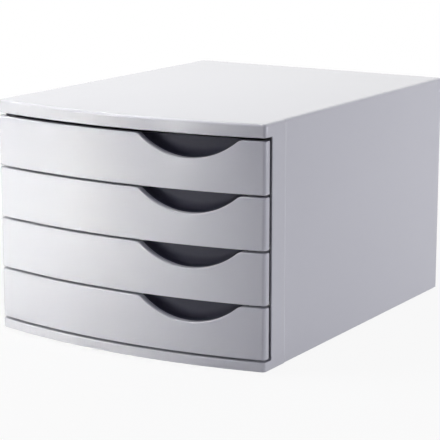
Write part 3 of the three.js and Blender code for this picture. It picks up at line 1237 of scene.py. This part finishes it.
@dataclass
class GripPocket:
    """The dark finger pocket behind the crescent."""

    bow: Bow
    scoop: Scoop
    front_height: float
    cut: float = 1.5
    wall: float = 1.8
    front: float = 6.8
    back: float = 19.0
    fillet: float = 8.0
    fillet_steps: int = 8
    flange: float = 4.0
    flange_front: float = 8.9
    flange_overlap: float = 0.2
    arris: float = 60.0
    ease: float = 0.3

    def _skin(self, shape: Shape, grow: float, back: float, fillet: float) -> list[BMVert]:
        """Builds one skin of the trough: a crescent-shaped floor that turns up into the back.

        Args:
            shape: the shape that it is built in.
            grow: how far the skin lies outside the crescent.
            back: how far its back lies behind the front.
            fillet: the radius between floor and back.

        Returns:
            The skin's front edge.
        """
        turns = [math.pi / 2 * i / self.fillet_steps for i in range(self.fillet_steps + 1)]
        stations = [(self.front, grow)]
        stations += [
            (back - fillet * (1 - math.sin(turn)), grow - fillet * (1 - math.cos(turn)))
            for turn in turns
        ]
        chains: list[list[BMVert]] = []
        for inset, spread in stations:
            chain = self.scoop.draw(shape, self.front_height, self.cut, spread)
            self.bow.bend(chain, inset)
            if chains:
                pair = [*shape.along(chains[-1]), *shape.along(chain)]
                bmesh.ops.bridge_loops(shape.mesh, edges=pair)
            chains.append(chain)
        for edge in shape.extrude_edges(shape.along(chains[-1]), (0.0, 0.0, 0.0)):
            for vert in edge.verts:
                vert.co.z = self.front_height - self.cut
        return chains[0]

    def trough(self) -> Shape:
        """Builds the trough from an inner and an outer skin.

        Returns:
            The closed shape.
        """
        shape = Shape()
        inner = self._skin(shape, 0.0, self.back, self.fillet)
        outer = self._skin(shape, self.wall, self.back + self.wall, self.fillet + self.wall)
        bmesh.ops.bridge_loops(shape.mesh, edges=[*shape.along(inner), *shape.along(outer)])
        shape.merge(FINE_TOUCH)
        shape.fill([edge for edge in shape.mesh.edges if edge.is_boundary])
        shape.outward()
        return shape

    def ring(self) -> Shape:
        """Builds the flange that seats the pocket against the tray.

        Returns:
            The closed shape.
        """
        shape = Shape()
        for grow in (self.wall - self.flange_overlap, self.wall + self.flange):
            self.scoop.draw(shape, self.front_height, self.cut, grow)
        bmesh.ops.bridge_loops(shape.mesh, edges=shape.mesh.edges)
        self.bow.bend(shape.mesh.verts, self.flange_front)
        back = shape.extrude_faces(shape.mesh.faces[:])
        verts = {vert for face in back for vert in face.verts}
        self.bow.bend(verts, self.flange_front + self.wall)
        shape.outward()
        return shape

    def build(self) -> Shape:
        """Builds the pocket, at the height of a drawer whose lower edge is at 0.

        Returns:
            The finished shape.
        """
        trough = self.trough()
        trough.round(trough.sharp(self.arris), self.ease)
        return trough.joined(self.ring())


@dataclass
class DrawerTray:
    """The tray that the papers lie in, which stands a little above the front's lower edge."""

    node: str
    lift: float = 1.0
    floor_height: float = 2.8
    fillet: float = 1.6
    fillet_steps: int = 5
    arris: float = 50.0
    ease: float = 0.25

    def build(self) -> Shape:
        """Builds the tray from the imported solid, with a fillet round its floor and eased edges.

        Returns:
            The finished shape, at the height of a drawer whose lower edge is at 0.
        """
        shape = Shape.of_node(self.node)
        base = min(vert.co.z for vert in shape.mesh.verts) - self.lift
        floor = base + self.floor_height
        inner = [e for e in shape.sharp() if all(abs(v.co.z - floor) < TOUCH for v in e.verts)]
        shape.round(inner, self.fillet, self.fillet_steps)
        shape.round(shape.sharp(self.arris), self.ease)
        shape.move((0.0, 0.0, -base))
        return shape


@dataclass
class Drawers:
    """The four drawers, alike but for their height."""

    bow: Bow
    count: int = 4

    def build(self, dresser: Dresser) -> None:
        """Builds every drawer's front, tray and grip pocket.

        Args:
            dresser: makes the shapes into pieces.
        """
        scoop = Scoop()
        room = Room.of("drawer_1_front")
        height = room.high.z - room.low.z
        parts = {
            "front": (DrawerFront(self.bow, scoop, height).build(), Slot.DRAWER_FRONT),
            "tray": (DrawerTray("drawer_1_tray").build(), Slot.TRAY),
            "grip": (GripPocket(self.bow, scoop, height).build(), Slot.GRIP),
        }
        for number in range(1, self.count + 1):
            body = f"drawer_{number}"
            lift = (0.0, 0.0, Room.of(f"{body}_front").low.z)
            for part, (shape, slot) in parts.items():
                copy = shape.copy()
                copy.move(lift)
                dresser.dress(copy, f"{body}_{part}_moulding", body, slot, f"{body}_{part}")


@dataclass
class Unit:
    """The whole file drawer."""

    bow: Bow = Bow()
    foot_names: tuple[str, ...] = ("front_left", "front_right", "back_left", "back_right")

    def build(self, dresser: Dresser) -> None:
        """Builds the casing with what is fixed in it, and the drawers.

        Args:
            dresser: makes the shapes into pieces.
        """
        body = "casing"
        feet = {name: Foot(Room.of(f"foot_{name}")) for name in self.foot_names}
        places = [foot.place for foot in feet.values()]
        casing = Casing(
            self.bow, Room.of("casing_shell"), Room.of("drawer_1_front").high.z, places
        )
        dresser.dress(casing.build(), "casing_moulding", body, Slot.CASING, "casing_shell")
        panel = BackPanel(Room.of("back_panel"))
        dresser.dress(panel.build(), "back_panel_moulding", body, Slot.CASING, "back_panel")
        for side in ("left", "right"):
            node = f"runner_{side}"
            dresser.dress(Runner(node).build(), f"{node}_moulding", body, Slot.TRAY, node)
        for name, foot in feet.items():
            dresser.dress(foot.build(), f"foot_{name}_rubber", body, Slot.FOOT, f"foot_{name}")
        Drawers(self.bow).build(dresser)


# Studio


def hang(data: bpy.types.ID, place: Bearing, aim: Point) -> bpy.types.Object:
    """Puts a lamp or the camera in the scene, turned towards what it is aimed at.

    Args:
        data: the lamp or camera, whose name the object takes.
        place: where it hangs as seen from the aim, with the front at 0 degrees round.
        aim: the point that it is turned towards.

    Returns:
        The new object.
    """
    azimuth, elevation, distance = place
    turn, lift = math.radians(azimuth), math.radians(elevation)
    flat = math.cos(lift)
    back = Vector((math.sin(turn) * flat, -math.cos(turn) * flat, math.sin(lift)))
    made = add_object(data.name, data)
    made.location = Vector(aim) + back * distance
    made.rotation_mode = "QUATERNION"
    made.rotation_quaternion = (-back).to_track_quat("-Z", "Y")
    return made


def seen_rays(sheet: Sheet) -> Signal:
    """Tells the rays that look at a surface from the rest.

    Args:
        sheet: the nodes that it is added to.

    Returns:
        1 for camera, glossy and transmission rays, and 0 for the rest.
    """
    path = sheet.node("ShaderNodeLightPath")
    camera, glossy, through = (
        sheet.signal(path, f"Is {kind} Ray") for kind in ("Camera", "Glossy", "Transmission")
    )
    return sheet.maths("MAXIMUM", camera, sheet.maths("MAXIMUM", glossy, through))


@dataclass(frozen=True)
class Panel:
    """A soft light panel, hung at a place and aimed at the object."""

    name: str
    place: Bearing
    size: tuple[float, float]
    radiance: float
    colour: Colour
    aim: Point = (0.0, -0.05, 0.1)
    spread: float = 180.0

    def build(self) -> None:
        """Hangs the panel, which the camera doesn't see."""
        width, height = self.size
        lamp = bpy.data.lights.new(self.name, "AREA")
        lamp.shape = "RECTANGLE"
        lamp.size, lamp.size_y = width, height
        lamp.energy = self.radiance * math.pi * width * height
        lamp.color = self.colour
        lamp.spread = math.radians(self.spread)
        hang(lamp, self.place, self.aim).visible_camera = False


@dataclass(frozen=True)
class Camera:
    """The camera that takes the photograph's view."""

    place: Bearing = (31.663, 12.142, 1.71014)
    target: Point = (-0.00544, 0.0, 0.09091)
    lens: float = 141.164
    sensor: float = 36.0
    clip: tuple[float, float] = (0.05, 60.0)

    def build(self) -> None:
        """Sets the camera up as the scene's own."""
        data = bpy.data.cameras.new("camera")
        data.sensor_width, data.lens = self.sensor, self.lens
        data.clip_start, data.clip_end = self.clip
        bpy.context.scene.camera = hang(data, self.place, self.target)


@dataclass(frozen=True)
class Floor:
    """A plain pale floor that keeps the object's shadow."""

    half: float = 4.0
    colour: Colour = (0.6, 0.6, 0.61)
    speckle: Noise = Noise(30.0, 2.0)
    speckle_share: float = 0.99
    near_glow: float = 0.92
    near: float = 0.35
    far: float = 1.1

    def build(self) -> None:
        """Lays the floor."""
        shape = Shape()
        bmesh.ops.create_grid(shape.mesh, x_segments=1, y_segments=1, size=self.half)
        shape.to_object("floor", self.material())

    def material(self) -> bpy.types.Material:
        """Builds the floor's material: pale, and white to the camera further out.

        Returns:
            The material.
        """
        made = bpy.data.materials.new("floor_pale")
        sheet = Sheet(made)
        place = sheet.place()
        length = sheet.node("ShaderNodeVectorMath", {"operation": "LENGTH"}, {0: place})
        limits = {"From Min": self.near, "From Max": self.far, "To Min": self.near_glow}
        away = sheet.node(
            "ShaderNodeMapRange", {"interpolation_type": "SMOOTHSTEP"},
            {"Value": sheet.signal(length, "Value"), "To Max": 1.0, **limits},
        )
        darker = tuple(part * self.speckle_share for part in self.colour)
        pale = sheet.tone(sheet.noise(place, self.speckle), self.colour, darker)
        plain = sheet.node("ShaderNodeBsdfDiffuse", None, {"Color": pale})
        white = sheet.node("ShaderNodeEmission", None, {"Color": (*WHITE, 1.0), "Strength": 1.0})
        share = seen_rays(sheet) * sheet.signal(away)
        shaders = {0: share, 1: sheet.signal(plain), 2: sheet.signal(white)}
        sheet.finish("ShaderNodeOutputMaterial", sheet.node("ShaderNodeMixShader", None, shaders))
        return made


@dataclass(frozen=True)
class Studio:
    """The floor, the lamps, the white backdrop and the camera."""

    ambient: float = 0.079
    ambient_tint: Colour = (0.5, 0.5, 1.0)
    panels: tuple[Panel, ...] = (
        Panel("key", (-58.0, 62.0, 1.4), (0.6, 0.5), 11.2, (1.0, 1.0, 0.99)),
        Panel("overhead", (180.0, 65.0, 1.5), (0.8, 0.8), 3.1, (1.0, 1.0, 0.93)),
        Panel("left_top", (-120.0, 50.0, 1.4), (0.8, 0.6), 0.6, (1.0, 0.98, 0.8)),
        Panel("front_top", (-36.0, 30.0, 1.4), (0.5, 0.5), 1.8, (0.76, 0.76, 1.0)),
        Panel("right_side", (112.0, 0.0, 1.6), (0.6, 0.2), 21.4, (0.94, 0.94, 1.0)),
        Panel(
            "tall_left", (-48.0, 6.0, 0.5), (0.16, 0.34), 1.46, (0.98, 1.0, 0.84),
            aim=(0.0, -0.17, 0.1),
        ),
        Panel(
            "low_left", (-40.0, 0.0, 0.42), (0.16, 0.22), 0.54, (1.0, 0.94, 0.7),
            aim=(0.0, -0.17, 0.1),
        ),
        Panel(
            "front_wash", (-15.0, 0.0, 1.6), (0.3, 0.35), 0.79, (1.0, 0.99, 0.95),
            aim=(-0.118, -0.17, 0.072), spread=17.0,
        ),
    )

    def backdrop(self) -> None:
        """Makes the world white where it is seen, and a low even light elsewhere."""
        world = bpy.data.worlds.new("backdrop")
        bpy.context.scene.world = world
        sheet = Sheet(world)
        seen = seen_rays(sheet)
        sockets = {
            "Color": sheet.tone(seen, self.ambient_tint, WHITE),
            "Strength": sheet.between(seen, self.ambient, 1.0),
        }
        sheet.finish("ShaderNodeOutputWorld", sheet.node("ShaderNodeBackground", None, sockets))

    def build(self) -> None:
        """Sets the whole studio up."""
        bpy.context.scene.view_settings.view_transform = "Standard"
        for part in (Camera(), Floor(), *self.panels):
            part.build()
        self.backdrop()


def main() -> None:
    """Builds the studio and the file drawer."""
    logging.basicConfig(level=logging.INFO, format="%(message)s")
    Studio().build()
    log.info("studio: floor, backdrop, camera and lamps")
    Unit().build(Dresser(Finishes().materials()))


if __name__ == "__main__":
    main()
